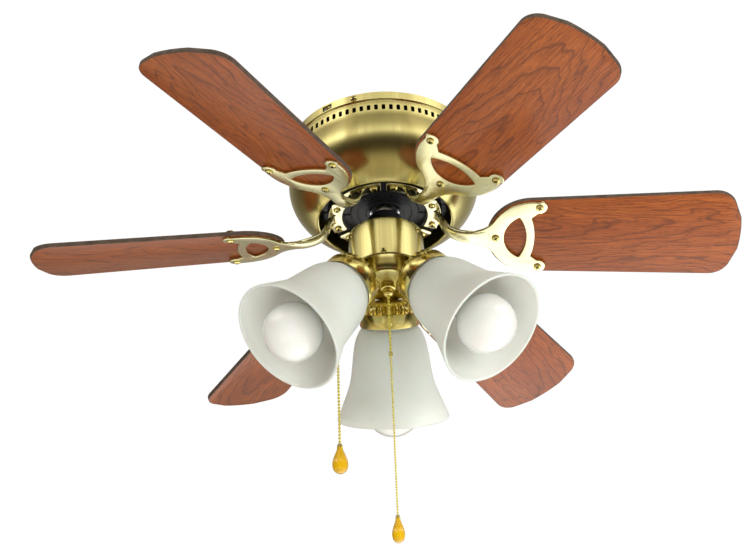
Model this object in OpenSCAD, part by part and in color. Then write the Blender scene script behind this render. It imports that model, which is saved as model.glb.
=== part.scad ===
// Six-blade flush-mount ceiling fan with a three-shade light kit.
// Millimetres, +Z up. The origin is the centre of the ceiling plate's upper face,
// so the fan hangs below z = 0. The +X axis runs along the first blade.

/* [Ceiling mount] */
// Outer radius of the ceiling plate
plate_r = 99; // [98:0.5:99.5]
// Thickness of the ceiling plate
plate_t = 2; // [1.5:0.1:2.5]
// Distance between the centres of the two ceiling screw slots
slot_spacing = 79.4; // [78:0.1:81]
// End-to-end length of a ceiling screw slot
slot_len = 15; // [12:0.5:17]
// Radius of the wire hole in the ceiling plate
wire_hole_r = 12; // [9:0.5:14]

/* [Motor housing] */
// Outer radius of the collar at the ceiling
collar_r = 102; // [101.8:0.1:102.4]
// Outer radius of the pierced vent band
band_r = 101; // [100.8:0.1:101.2]
// Largest outer radius of the bowl
bowl_r = 104; // [103:0.5:106]
// Outer radius of the open mouth under the motor
mouth_r = 73; // [72:0.5:78]
// Height from the ceiling to the mouth
housing_h = 99; // [98:0.5:100]
// Wall of the spun brass bowl
shell_t = 1.2; // [1:0.1:1.4]
// Number of vent slots around the band
vent_count = 80; // [40:1:84]

/* [Blades] */
// Number of blades
blade_count = 6; // [6:1:6]
// Radius of the circle that the blade tips sweep
tip_r = 381; // [370:1:400]
// Half width of a blade beside its outer screws
root_half_w = 48; // [46:0.5:49]
// Half width of a blade near its tip
tip_half_w = 54.7; // [50:0.1:58]
// Thickness of a blade
blade_t = 4.8; // [4:0.1:6.5]
// Pitch of a blade about its own length
pitch = 17.7; // [14:0.1:18]
// Droop of a blade towards its tip
droop = 2.2; // [0:0.1:3]

/* [Switch housing] */
// Outer radius of the switch housing
switch_r = 40.5; // [40:0.1:42]
// Height of its upper edge
switch_top = -121; // [-122:0.5:-120]
// Height of the seam with the light pan
switch_low = -168; // [-170:0.5:-167]

/* [Light kit] */
// Tilt of a shade's axis from straight down
shade_tilt = 40; // [38:0.5:42]
// Distance of a shade's rim centre from the fan's axis
rim_out = 118.5; // [116:0.5:121]
// Height of a shade's rim centre
rim_z = -277; // [-280:0.5:-275]
// Outer radius of a shade's rim
rim_r = 61; // [59:0.5:62]
// Wall of the frosted glass
glass_t = 3; // [2.5:0.1:3.5]
// Radius of a bulb's globe
globe_r = 30.8; // [28:0.1:32]

/* [Pull chains] */
// Travel of a pull chain
pull_travel = 10; // [6:1:12]
// Travel of the reversing slider
slider_travel = 6; // [4:0.5:8]

/* [Hidden] */
$fn = 96;
eps = 0.05;
// Parting gap left between pieces that pass through one another
gap = 0.15;

// Height of the blades' lower face where they cross pivot_r
pivot_r = 100;
blade_z = -124;

brass = "#c8ad5c";
bright_brass = "#dcc47c";
steel = "#b9bcc0";
black_paint = "#1c1c1e";
cherry = "#a3481f";
frosted = "#dfe6df";
amber = "#eaa51e";

// ---------- Shared geometry ----------

// A point on the curve through p1 and p2, steered by their neighbours
function on_curve(p0, p1, p2, p3, t) =
    0.5 * (2 * p1 + (p2 - p0) * t + (2 * p0 - 5 * p1 + 4 * p2 - p3) * t * t
        + (3 * p1 - p0 - 3 * p2 + p3) * t * t * t);

// A smooth curve through all the points, with steps pieces between neighbours
function curve(p, steps) =
    let (n = len(p), q = concat([2 * p[0] - p[1]], p, [2 * p[n - 1] - p[n - 2]]))
    concat([for (i = [0:n - 2], k = [0:steps - 1])
        on_curve(q[i], q[i + 1], q[i + 2], q[i + 3], k / steps)], [p[n - 1]]);

// An arc from angle a0 to a1 about a centre
function arc(centre, r, a0, a1, n) =
    [for (i = [0:n]) let (a = a0 + (a1 - a0) * i / n) centre + r * [cos(a), sin(a)]];

function reversed(p) = [for (i = [len(p) - 1:-1:0]) p[i]];

function unit(v) = v / norm(v);

// The directions across a path at point i: sideways, and across both
function across(p, i, side) =
    let (t = unit(p[min(i + 1, len(p) - 1)] - p[max(i - 1, 0)]), s = unit(side - t * (side * t)))
    [s, cross(t, s)];

// Joins rings of equal point counts into one closed solid
module loft(rings) {
    n = len(rings[0]);
    m = len(rings);
    polyhedron(
        points = [for (r = rings, p = r) p],
        faces = concat(
            [[for (j = [0:n - 1]) j]],
            [for (i = [0:m - 2], j = [0:n - 1])
                [i * n + j, (i + 1) * n + j, (i + 1) * n + (j + 1) % n, i * n + (j + 1) % n]],
            [[for (j = [n - 1:-1:0]) (m - 1) * n + j]]),
        convexity = 4);
}

// A round tube swept along a route
module swept_tube(route, r, side, sides = 8) {
    loft([for (i = [0:len(route) - 1])
        let (f = across(route, i, side))
        [for (j = [0:sides - 1]) let (a = -360 * j / sides)
            route[i] + r * (cos(a) * f[0] + sin(a) * f[1])]]);
}

module tube(r, hole, z0, z1) {
    translate([0, 0, z0]) difference() {
        cylinder(r = r, h = z1 - z0);
        translate([0, 0, -eps]) cylinder(r = hole, h = z1 - z0 + 2 * eps);
    }
}

module around(count, first = 0) {
    for (i = [0:count - 1]) rotate([0, 0, first + i * 360 / count]) children();
}

// A pan-head screw along -Z, with its head's seat at z = 0 and the shank above it
module pan_screw(head_r, head_h, shank_r, shank_l) {
    cylinder(r = shank_r, h = shank_l, $fn = 24);
    rotate_extrude($fn = 32) difference() {
        polygon(concat([[0, 0], [head_r, 0]],
            [for (i = [1:6]) [head_r * cos(15 * i), -head_h * (0.25 + 0.75 * sin(15 * i))]]));
        translate([-2 * head_r, -head_h]) square([2 * head_r, 3 * head_h]);
    }
}

// ---------- Ceiling mount and housing ----------

flange_h = 10;

module mounting_plate() {
    slot_r = 2.75;
    color(steel) difference() {
        translate([0, 0, -flange_h]) cylinder(r = plate_r + 1.5, h = flange_h);
        translate([0, 0, -flange_h - eps]) cylinder(r = plate_r - 0.5, h = flange_h - plate_t + eps);
        translate([0, 0, -plate_t - eps]) cylinder(r = wire_hole_r, h = plate_t + 2 * eps);
        for (side = [-1, 1]) translate([side * slot_spacing / 2, 0, -plate_t - eps]) {
            for (e = [-1, 1]) translate([e * (slot_len / 2 - slot_r), 0, 0])
                cylinder(r = slot_r, h = plate_t + 2 * eps);
            translate([slot_r - slot_len / 2, -slot_r, 0])
                cube([slot_len - 2 * slot_r, 2 * slot_r, plate_t + 2 * eps]);
        }
        around(3, 90) translate([hang_r, 0, -plate_t - eps])
            cylinder(r = hang_screw_r + gap, h = plate_t + 2 * eps, $fn = 32);
        around(4, collar_screw_a) translate([plate_r - 3, 0, -collar_screw_z]) rotate([0, 90, 0])
            cylinder(r = 2.1, h = 8, $fn = 32);
    }
}

hang_r = 56;
hang_screw_r = 2.5;
hang_leg_z = -8;
hang_leg_t = 3;
hang_cup_r = 26;
hang_cup_z = -27;
shaft_r = 9;

// Three-legged bracket that carries the motor's shaft below the ceiling plate
module motor_hanger() {
    color(steel) difference() {
        union() {
            translate([0, 0, hang_cup_z])
                cylinder(r = hang_cup_r, h = hang_leg_z - hang_cup_z - hang_leg_t / 2);
            around(3, 90) translate([hang_cup_r - 1, -8, hang_leg_z - hang_leg_t])
                cube([hang_r + 10 - hang_cup_r, 16, hang_leg_t]);
        }
        translate([0, 0, hang_cup_z + hang_leg_t]) cylinder(r = hang_cup_r - 2, h = 40);
        translate([0, 0, hang_cup_z - eps]) cylinder(r = shaft_r, h = 10);
        around(3, 90) translate([hang_r, 0, hang_leg_z - hang_leg_t - eps])
            cylinder(r = hang_screw_r + gap, h = hang_leg_t + 2 * eps, $fn = 32);
    }
}

module hanger_grommets() {
    color(black_paint) around(3, 90) translate([hang_r, 0, 0])
        tube(7, hang_screw_r + gap, hang_leg_z, -plate_t, $fn = 48);
}

module hanger_screws() {
    color(steel) around(3, 90) translate([hang_r, 0, hang_leg_z - hang_leg_t])
        pan_screw(5, 3, hang_screw_r, -hang_leg_z + hang_leg_t - 0.5);
}

collar_h = 11;
collar_screw_a = 254;
collar_screw_z = 6;
vent_z = -21;
vent_w = 4;
vent_h = 6;
bowl_z = -52;
bowl_in = 45;

// Outer surface of the bowl, or of its inside when inset is the wall
function housing_side(inset) =
    let (low = housing_h + bowl_z,
        end_a = acos((mouth_r - bowl_in) / (bowl_r - bowl_in)),
        drop = low / sin(end_a))
    concat(
        [[collar_r - inset, -0.5], [collar_r - inset, -collar_h],
            [collar_r - 1.6 - inset, -collar_h - 1], [collar_r - 1.6 - inset, -collar_h - 2],
            [band_r - inset, -collar_h - 2.5], [band_r - inset, -28]],
        [for (i = [1:5]) [band_r + (bowl_r - band_r) * sin(90 * i / 6) - inset,
            -28 + (28 + bowl_z) * i / 6]],
        [for (i = [0:18]) let (a = end_a * i / 18)
            [bowl_in + (bowl_r - bowl_in - inset) * cos(a), bowl_z - (drop - inset) * sin(a)]]);

// Spun brass bowl that hides the motor, with its band of vent slots
module housing() {
    color(brass) difference() {
        rotate_extrude($fn = 128)
            polygon(concat(housing_side(0), reversed(housing_side(shell_t))));
        around(vent_count, 2) translate([band_r - 4, -vent_w / 2, vent_z - vent_h / 2])
            cube([8, vent_w, vent_h]);
        around(4, collar_screw_a) translate([collar_r - 4, 0, -collar_screw_z]) rotate([0, 90, 0])
            cylinder(r = 2.1, h = 8, $fn = 32);
    }
}

module housing_screws() {
    color(bright_brass) around(4, collar_screw_a)
        translate([collar_r, 0, -collar_screw_z]) rotate([0, -90, 0])
            pan_screw(3.6, 2, 1.9, 5);
}

// ---------- Motor ----------

shaft_top = -18;
shaft_low = -124;

module motor_shaft() {
    color(steel) {
        tube(shaft_r, 5, shaft_low, shaft_top);
        tube(15, shaft_r - eps, hang_cup_z - 4, hang_cup_z);
    }
}

core_top = -52;
core_low = -72;
core_r = 46;

// Laminated stack with its winding slots
module stator_core() {
    color(steel) difference() {
        tube(core_r, shaft_r, core_low, core_top);
        around(16) translate([30, -2.5, core_low - eps]) cube([30, 5, 30]);
    }
}

module stator_windings() {
    color("#b4622d") for (z = [core_top + 4, core_low - 4]) translate([0, 0, z])
        rotate_extrude() translate([25, 0]) {
            translate([-5, -4]) square([10, 8]);
            for (e = [-1, 1]) translate([5 * e, 0]) circle(r = 4, $fn = 32);
        }
}

bearing_r = 16;
run_gap = 0.04;

module bearing(z) {
    color(steel) tube(bearing_r, shaft_r + run_gap, z, z + 7);
}

upper_bearing_z = -42;
lower_bearing_z = -88;

module upper_bearing() {
    bearing(upper_bearing_z);
}

module lower_bearing() {
    bearing(lower_bearing_z);
}

rotor_r = 69;
rotor_seam = -62;

module rotor_upper_cover() {
    color(black_paint) rotate_extrude($fn = 128) polygon([
        [bearing_r, -35], [bearing_r + 4, -35], [bearing_r + 6, -38], [rotor_r - 6, -39],
        [rotor_r, -44], [rotor_r, rotor_seam], [rotor_r - 3, rotor_seam], [rotor_r - 3, -45],
        [rotor_r - 7, -42], [bearing_r, -42]]);
}

iron_face_z = -90;
iron_face_in = 45;
iron_face_out = 62;
iron_screw_r = 54;
iron_screw_a = 18.5;

// Lower cover of the turning motor shell, which the blade irons are screwed to
module rotor_lower_cover() {
    color(black_paint) difference() {
        rotate_extrude($fn = 128) polygon([
            [rotor_r - 3, rotor_seam], [rotor_r, rotor_seam], [rotor_r, -85],
            [iron_face_out, -85], [iron_face_out, iron_face_z], [iron_face_in, iron_face_z],
            [iron_face_in, -86], [37, -86], [37, -88], [bearing_r, -88], [bearing_r, -81],
            [40, -81], [42, -84], [iron_face_out - 4, -84], [iron_face_out, -81],
            [rotor_r - 3, -81]]);
        around(blade_count) for (a = [-1, 1]) rotate([0, 0, a * iron_screw_a])
            translate([iron_screw_r, 0, iron_face_z - eps])
                cylinder(r = 2 + gap, h = 9, $fn = 32);
    }
}

module rotor_cage() {
    color(steel) difference() {
        tube(rotor_r - 3, core_r + 1, core_low, core_top);
        around(24) translate([core_r + 6, 0, core_low - eps]) cylinder(r = 2, h = 30, $fn = 24);
    }
}

// ---------- Blades and blade irons ----------

// Moves its children from a blade's flat layout to that blade's place on the fan
module blade_place(i) {
    rotate([0, 0, (i - 1) * 360 / blade_count]) translate([pivot_r, 0, blade_z])
        rotate([0, droop, 0]) rotate([-pitch, 0, 0]) translate([-pivot_r, 0, 0])
            children();
}

root_centre = 157;
horn_x = 164.3;
horn_y = 39.7;
neck_screw_x = 118.1;
blade_screw_at = [[horn_x, horn_y], [horn_x, -horn_y], [neck_screw_x, 0]];
corner_r = 23;
tip_bow = 10;

// Outline of one side of a blade, from the middle of its root to the middle of its tip
function blade_side() =
    let (edge_a = atan2(tip_half_w - root_half_w, 200),
        tip_x = tip_r - tip_bow,
        bow_r = (tip_bow * tip_bow + tip_half_w * tip_half_w) / (2 * tip_bow),
        tip_c = [tip_x - corner_r + 3, tip_half_w - corner_r])
    concat(arc([root_centre, 0], root_half_w, 180, 90 + edge_a, 18),
        arc(tip_c, corner_r, 90 + edge_a, 18, 10),
        [for (i = [3:-1:0]) let (y = i * 7) [tip_r - bow_r + sqrt(bow_r * bow_r - y * y), y]]);

module blade(i) {
    side = blade_side();
    color(cherry) blade_place(i) difference() {
        linear_extrude(blade_t)
            polygon(concat(side, [for (p = reversed(side)) if (p[1] > 0.01) [p[0], -p[1]]]));
        for (p = blade_screw_at) translate([p[0], p[1], -eps])
            cylinder(r = 2 + gap, h = blade_t + 2 * eps, $fn = 32);
    }
}

iron_t = 3;
ring_out = 46;
ring_in = 30;
foot_sweep = 54;
foot_top = -90;

// Stations of the arm from the motor to the blade: distance out, height above the blades'
// pivot height, half width, thickness, and the share of the blade's pitch taken up there
ARM = [[51, 32.3, 9, 1.6, 0], [56, 30.8, 9, 3.4, 0], [60.5, 24, 8.5, 5, 0],
    [64, 15, 8, 6, 0.05], [69.5, 8, 7.5, 6.5, 0.15], [78, 3.2, 7.5, 6.5, 0.35],
    [88, 0.2, 8, 6, 0.6], [98, -1.2, 9, 4.5, 0.9], [110, -2, 13, 2.9, 1]];

function arm_rings() =
    let (c = curve(ARM, 3), path = [for (s = c) [s[0], 0, blade_z + s[1]]])
    [for (i = [0:len(c) - 1])
        let (w = c[i][2], h = c[i][3] / 2, f = across(path, i, [0, 1, 0]),
            a = -pitch * c[i][4], s = cos(a) * f[0] + sin(a) * f[1],
            n = cos(a) * f[1] - sin(a) * f[0])
        [for (q = [[-w, -h * 0.5], [-w, h * 0.2], [-w * 0.72, h], [w * 0.72, h], [w, h * 0.2],
            [w, -h * 0.5], [w * 0.55, -h * 0.75], [w * 0.3, -h * 1.25], [-w * 0.3, -h * 1.25],
            [-w * 0.55, -h * 0.75]]) path[i] + s * q[0] - n * q[1]]];

// Flat plate of a blade iron: a ring that follows the blade's root, two horns and a bow
module iron_outline() {
    neck_r = 30;
    neck_x = root_centre - sqrt(pow(ring_out + neck_r, 2) - pow(8 + neck_r, 2));
    difference() {
        union() {
            intersection() {
                translate([root_centre, 0]) circle(r = ring_out);
                union() {
                    translate([73, 0]) circle(r = 87);
                    for (e = [-1, 1]) translate([130, e * 40 - 11]) square([36, 22]);
                }
            }
            for (e = [-1, 1]) translate([horn_x, e * horn_y]) circle(r = 8, $fn = 48);
            difference() {
                translate([neck_x + 12, -24]) square([16, 48]);
                for (e = [-1, 1]) translate([neck_x, e * (8 + neck_r)]) circle(r = neck_r);
            }
        }
        intersection() {
            translate([root_centre, 0]) circle(r = ring_in);
            translate([100, 0]) circle(r = 51);
        }
        for (p = blade_screw_at) translate(p) circle(r = 2 + gap, $fn = 32);
    }
}

// Cast arm with its curved foot under the motor and its plate under the blade
module blade_iron(i) {
    color(bright_brass) {
        blade_place(i) translate([0, 0, -iron_t]) linear_extrude(iron_t) iron_outline();
        rotate([0, 0, (i - 1) * 360 / blade_count]) {
            loft(arm_rings());
            difference() {
                rotate([0, 0, -foot_sweep / 2]) rotate_extrude(angle = foot_sweep)
                    translate([46.5, foot_top - 3]) square([15, 3]);
                for (a = [-1, 1]) rotate([0, 0, a * iron_screw_a])
                    translate([iron_screw_r, 0, foot_top - 3 - eps])
                        cylinder(r = 2 + gap, h = 3 + 2 * eps, $fn = 32);
            }
        }
    }
}

module iron_screws() {
    color(steel) around(blade_count) for (a = [-1, 1]) rotate([0, 0, a * iron_screw_a])
        translate([iron_screw_r, 0, foot_top - 3]) pan_screw(4, 2.4, 2, 7);
}

module blade_screws() {
    color(bright_brass) for (i = [1:blade_count], p = blade_screw_at)
        blade_place(i) translate([p[0], p[1], -iron_t])
            pan_screw(4.2, 2.4, 2, iron_t + blade_t + 3.5);
}

module blade_nuts() {
    color(bright_brass) for (i = [1:blade_count], p = blade_screw_at)
        blade_place(i) translate([p[0], p[1], blade_t]) difference() {
            cylinder(r = 4.4, h = 2.6, $fn = 6);
            translate([0, 0, -eps]) cylinder(r = 2 + eps, h = 3, $fn = 32);
        }
}

// ---------- Switch housing ----------

switch_wall = 1;

// Black spider that joins the switch housing to the lower end of the shaft
module switch_mount_plate() {
    lid_r = switch_r - switch_wall - gap;
    color(black_paint) rotate_extrude() polygon([
        [shaft_r, -94], [16, -94], [18, -96], [18, -110], [22, -118], [lid_r, switch_top - 0.5],
        [lid_r, switch_top - 9], [lid_r - 2, switch_top - 9], [lid_r - 2, switch_top - 3],
        [shaft_r, switch_top - 3]]);
}

switch_screw_z = -164;
switch_screw_a = 266;
slider_a = 30;
slider_z = -147;
bushing_a = 150;
bushing_z = -149;

module switch_housing() {
    color(brass) difference() {
        tube(switch_r, switch_r - switch_wall, switch_low, switch_top);
        around(3, switch_screw_a) translate([switch_r - 5, 0, switch_screw_z]) rotate([0, 90, 0])
            cylinder(r = 1.6, h = 10, $fn = 32);
        around(3, switch_screw_a + 60) translate([switch_r - 5, 0, switch_top - 6])
            rotate([0, 90, 0]) cylinder(r = 1.6, h = 10, $fn = 32);
        rotate([0, 0, slider_a]) translate([switch_r - 5, -2.5, slider_z - 3])
            cube([10, 5, slider_travel + 6]);
        rotate([0, 0, bushing_a]) translate([switch_r - 5, 0, bushing_z]) rotate([0, 90, 0])
            cylinder(r = 3.5 + gap, h = 10, $fn = 32);
    }
}

module switch_housing_screws() {
    color(bright_brass) for (s = [[switch_screw_a, switch_screw_z],
        [switch_screw_a + 60, switch_top - 6]])
        around(3, s[0]) translate([switch_r, 0, s[1]]) rotate([0, -90, 0])
            pan_screw(3, 1.8, 1.5, 0.9);
}

module run_capacitor() {
    color(black_paint) translate([-17, -29, -154]) cube([34, 15, 28]);
}

module fan_pull_switch() {
    color(black_paint) rotate([0, 0, bushing_a]) translate([16, -8, -159]) cube([17, 16, 21]);
}

module light_pull_switch() {
    color(black_paint) translate([-9, -8, -178]) cube([18, 16, 17]);
}

module reverse_switch() {
    color(black_paint) rotate([0, 0, slider_a]) translate([22, -6, slider_z - 8])
        cube([13, 12, 21]);
}

// Knob of the reversing switch, which slides up through slider_travel
module reverse_slider() {
    color(black_paint) rotate([0, 0, slider_a]) translate([35.4, -2, slider_z - 2])
        cube([8.6, 4, 4]);
}

// Bell-mouthed guide that the fan's chain leaves the switch housing through
module fan_chain_bushing() {
    color(bright_brass) rotate([0, 0, bushing_a]) translate([0, 0, bushing_z])
        rotate([0, 90, 0]) rotate_extrude($fn = 48) polygon([
            [2, 34], [3.5, 34], [3.5, switch_r], [5.5, switch_r], [5.5, switch_r + 2.5],
            [3.4, switch_r + 3.5], [3.2, switch_r + 8], [4.4, switch_r + 11],
            [3.6, switch_r + 11.5], [2, switch_r + 8]]);
}

// ---------- Light kit ----------

pan_low = -182.6;
nut_low = -188;
nut_r = 8.4;
cup_neck_r = 9;

// Moves its children onto a shade's axis: +Z runs from the rim back to the light pan
module shade_place(i) {
    rotate([0, 0, 90 + (i - 1) * 120]) translate([rim_out, 0, rim_z])
        rotate([0, -shade_tilt, 0]) children();
}

function pan_side(inset) =
    concat([[switch_r - inset, switch_low]],
        arc([switch_r + 2, switch_low - 12.5], 12 + inset, 100 + inset * 12, 178, 8),
        curve([[29.4 - inset, -181.4 + inset], [24 - inset * 0.5, pan_low + 0.3 + inset],
            [15, pan_low + inset], [12, pan_low + inset], [9.5, pan_low + inset],
            [3.6, pan_low + inset]], 4));

// Spun pan under the switch housing, which carries the three arms of lights
module light_pan() {
    lip_r = switch_r - switch_wall - gap;
    color(brass) difference() {
        union() {
            rotate_extrude() polygon(concat(pan_side(0), reversed(pan_side(1.2))));
            tube(lip_r, lip_r - 1.5, switch_low - 0.8, switch_low + 7);
        }
        for (i = [1:3]) shade_place(i) translate([0, 0, 118])
            cylinder(r = cup_neck_r + gap, h = 30);
        around(3, switch_screw_a) translate([switch_r - 5, 0, switch_screw_z]) rotate([0, 90, 0])
            cylinder(r = 1.3, h = 10, $fn = 32);
    }
}

module light_pan_nut() {
    color(bright_brass) difference() {
        translate([0, 0, nut_low]) cylinder(r = nut_r, h = pan_low - nut_low);
        translate([0, 0, nut_low - 1]) cylinder(r = 3.4 + eps, h = 8);
    }
}

bushing_tip = -195;

module light_chain_bushing() {
    color(bright_brass) rotate_extrude($fn = 48) polygon([
        [2, -179], [3.4, -179], [3.4, nut_low - 1], [5.4, nut_low - 3], [5.4, nut_low - 5],
        [3.8, bushing_tip + 0.4], [2.4, bushing_tip], [2, bushing_tip]]);
}

band_s = 102;
band_e = 117;
band_out = 32;
dome_e = 131;
thumbscrew_s = 109.5;
thumbscrew_a = 60;

// Outline of a socket cup: a straight band, then a dome up to its threaded neck
function cup_side(inset) =
    concat([[band_out - inset, band_s], [band_out - inset, band_e]],
        [for (i = [1:10]) let (a = 9 * i)
            [13 + (band_out - 13 - inset) * cos(a), band_e + (dome_e - band_e - inset) * sin(a)]]);

module socket_cup(i) {
    color(bright_brass) shade_place(i) difference() {
        union() {
            rotate_extrude() polygon(concat(cup_side(0), [[cup_neck_r, dome_e]],
                [[cup_neck_r, 138], [5, 138], [5, dome_e - 1.2]], reversed(cup_side(1.2))));
        }
        around(3, thumbscrew_a) translate([band_out - 5, 0, thumbscrew_s]) rotate([0, 90, 0])
            cylinder(r = 1.75, h = 8, $fn = 32);
    }
}

holder_s = 66;
holder_e = 104;
base_r = 13.2;

module lamp_holder(i) {
    color("#efece2") shade_place(i) difference() {
        union() {
            translate([0, 0, holder_s]) cylinder(r = 17, h = holder_e - holder_s);
            translate([0, 0, holder_e - eps]) cylinder(r = 4.9, h = 30);
        }
        translate([0, 0, holder_s - eps]) cylinder(r = base_r + 0.3, h = 32.4);
    }
}

// Bell of the shade: distance back from the rim, how far the radius has dropped there, and
// the share of the glass's thickness that lies along the axis
BELL = [[0, 0, 0], [6, 1.9, 0], [11, 4.1, 0], [17, 6.5, 0], [28, 11, 0], [39, 14.9, 0],
    [50, 17.2, 0], [72, 20.3, 0], [83, 22.3, 0], [90, 24.5, 0.1], [95.5, 27, 0.3],
    [99, 29.4, 0.6], [101, 31.6, 0.5], [103.5, 32.4, 0.1], [115, 32.5, 0]];

function shade_side(inset) =
    curve([for (b = BELL) [rim_r - b[1] - inset * (1 - b[2]), b[0] - inset * b[2]]], 4);

module glass_shade(i) {
    color(frosted) shade_place(i) rotate_extrude()
        polygon(concat(shade_side(0), reversed(shade_side(glass_t))));
}

globe_s = 10.5;

module bulb(i) {
    neck_a = 62;
    color("#f7f7f2") shade_place(i) rotate_extrude() polygon(concat(
        [for (k = [0:20]) let (a = -90 + (90 + neck_a) * k / 20)
            [globe_r * cos(a), globe_s + globe_r * sin(a)]],
        [[base_r, globe_s + globe_r + 6], [base_r, 98 - 3], [8, 98], [0, 98]]));
}

module shade_thumbscrews() {
    color(bright_brass) for (i = [1:3]) shade_place(i) around(3, thumbscrew_a)
        translate([28.75, 0, thumbscrew_s]) rotate([0, 90, 0]) {
            cylinder(r = 1.6, h = 6, $fn = 24);
            translate([0, 0, 4.6]) cylinder(r = 3.4, h = 5, $fn = 32);
        }
}

// ---------- Pull chains ----------

chain_r = 1.6;
fine_chain_r = 1.2;
coupling_z = -264;
light_fob_top = -448;
fan_fob_top = -351;

// Fan chain: out of its bushing, over its lip and straight down.
// Points are distance from the fan's axis and height.
FAN_ROUTE = [[36, -149], [44, -149], [51, -149.2], [56, -150.6], [60, -154.5], [62.6, -161],
    [63.8, -172], [64.2, -190], [64.4, -220], [64.5, -255], [64.5, -290], [64.5, -320],
    [64.5, fan_fob_top]];

// Light chain: straight down the fan's axis
LIGHT_ROUTE = [[0, -180], [0, -200], [0, -222], [0, -244], [0, coupling_z]];
FINE_ROUTE = [[0, coupling_z - 5], [0, -300], [0, -340], [0, -380], [0, -420], [0, light_fob_top]];

module chain(route, r, steps) {
    color(bright_brass) swept_tube([for (p = curve(route, steps)) [p[0], 0, p[1]]], r, [0, 1, 0]);
}

module fan_chain() {
    rotate([0, 0, bushing_a]) chain(FAN_ROUTE, chain_r, 4);
}

module light_chain() {
    chain(LIGHT_ROUTE, chain_r, 3);
    chain(FINE_ROUTE, fine_chain_r, 3);
}

module chain_coupling() {
    color(bright_brass) translate([0, 0, coupling_z - 5]) rotate_extrude($fn = 32) polygon([
        [0, 0], [1.4, 0], [2.2, 0.8], [2.2, 4.2], [1.7, 5], [0, 5]]);
}

// Drop-shaped grip at the end of a chain
module fob(top, length, r) {
    color(amber) translate([0, 0, top]) rotate_extrude($fn = 48) polygon(concat(
        [[0, 0]], curve([[r * 0.2, 0], [r * 0.3, -length * 0.12], [r * 0.55, -length * 0.3],
            [r * 0.88, -length * 0.52], [r, -length * 0.7], [r * 0.86, -length * 0.88],
            [r * 0.45, -length]], 4), [[0, -length]]));
}

module fan_fob() {
    rotate([0, 0, bushing_a]) translate([64.5, 0, 0]) fob(fan_fob_top, 33, 8.2);
}

module light_fob() {
    fob(light_fob_top, 29, 6.35);
}

mounting_plate();
motor_hanger();
hanger_grommets();
hanger_screws();
housing();
housing_screws();
motor_shaft();
stator_core();
stator_windings();
upper_bearing();
lower_bearing();
rotor_upper_cover();
rotor_lower_cover();
rotor_cage();
blade_iron(1);  // blade_iron_1
blade_iron(2);  // blade_iron_2
blade_iron(3);  // blade_iron_3
blade_iron(4);  // blade_iron_4
blade_iron(5);  // blade_iron_5
blade_iron(6);  // blade_iron_6
blade(1);  // blade_1
blade(2);  // blade_2
blade(3);  // blade_3
blade(4);  // blade_4
blade(5);  // blade_5
blade(6);  // blade_6
iron_screws();
blade_screws();
blade_nuts();
switch_mount_plate();
switch_housing();
switch_housing_screws();
run_capacitor();
fan_pull_switch();
light_pull_switch();
reverse_switch();
reverse_slider();
fan_chain_bushing();
light_pan();
light_pan_nut();
light_chain_bushing();
socket_cup(1);  // socket_cup_1
socket_cup(2);  // socket_cup_2
socket_cup(3);  // socket_cup_3
lamp_holder(1);  // lamp_holder_1
lamp_holder(2);  // lamp_holder_2
lamp_holder(3);  // lamp_holder_3
glass_shade(1);  // glass_shade_1
glass_shade(2);  // glass_shade_2
glass_shade(3);  // glass_shade_3
bulb(1);  // bulb_1
bulb(2);  // bulb_2
bulb(3);  // bulb_3
shade_thumbscrews();
fan_chain();
fan_fob();
light_chain();
chain_coupling();
light_fob();
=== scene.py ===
import random
from math import acos, atan2, cos, degrees, hypot, pi, radians, sin, sqrt

import bmesh
import bpy
from mathutils import Matrix, Vector


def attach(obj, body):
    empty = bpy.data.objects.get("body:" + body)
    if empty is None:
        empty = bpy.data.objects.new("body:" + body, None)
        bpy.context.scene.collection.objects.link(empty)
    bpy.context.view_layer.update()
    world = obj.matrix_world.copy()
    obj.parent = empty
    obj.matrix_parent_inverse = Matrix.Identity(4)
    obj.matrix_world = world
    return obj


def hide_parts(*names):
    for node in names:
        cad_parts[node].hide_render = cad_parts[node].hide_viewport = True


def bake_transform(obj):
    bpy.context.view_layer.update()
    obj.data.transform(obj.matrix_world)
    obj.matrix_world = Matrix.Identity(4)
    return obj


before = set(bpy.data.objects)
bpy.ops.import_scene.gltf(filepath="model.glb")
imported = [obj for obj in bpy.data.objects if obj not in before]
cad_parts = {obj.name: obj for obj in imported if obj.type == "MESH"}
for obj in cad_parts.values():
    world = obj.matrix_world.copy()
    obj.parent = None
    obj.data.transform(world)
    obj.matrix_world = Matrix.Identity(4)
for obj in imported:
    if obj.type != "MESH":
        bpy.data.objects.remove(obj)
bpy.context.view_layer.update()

# Shapes are drawn in millimetres and scaled once, when a piece is made.
MM = 0.001
Y, Z = Vector((0, 1, 0)), Vector((0, 0, 1))

# Sizes of the fan, as the CAD model has them
BLADES = 6
PIVOT_R, BLADE_Z, PITCH, DROOP = 100, -124, 17.7, 2.2
TIP_R, TIP_HALF, ROOT_HALF, ROOT_X, BLADE_T = 381, 54.7, 48, 157, 4.8
HORN = (164.3, 39.7)
NECK_SCREW_X = 118.1
IRON_T = 3
SHADE_TILT, RIM_OUT, RIM_Z, RIM_R, GLASS_T = 40, 118.5, -277, 61, 3
ROOM_LIGHT, BACKDROP, FLOOR_Z = 4.0, 1.03, -2.8


# ---------- Camera, light and floor ----------


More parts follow.
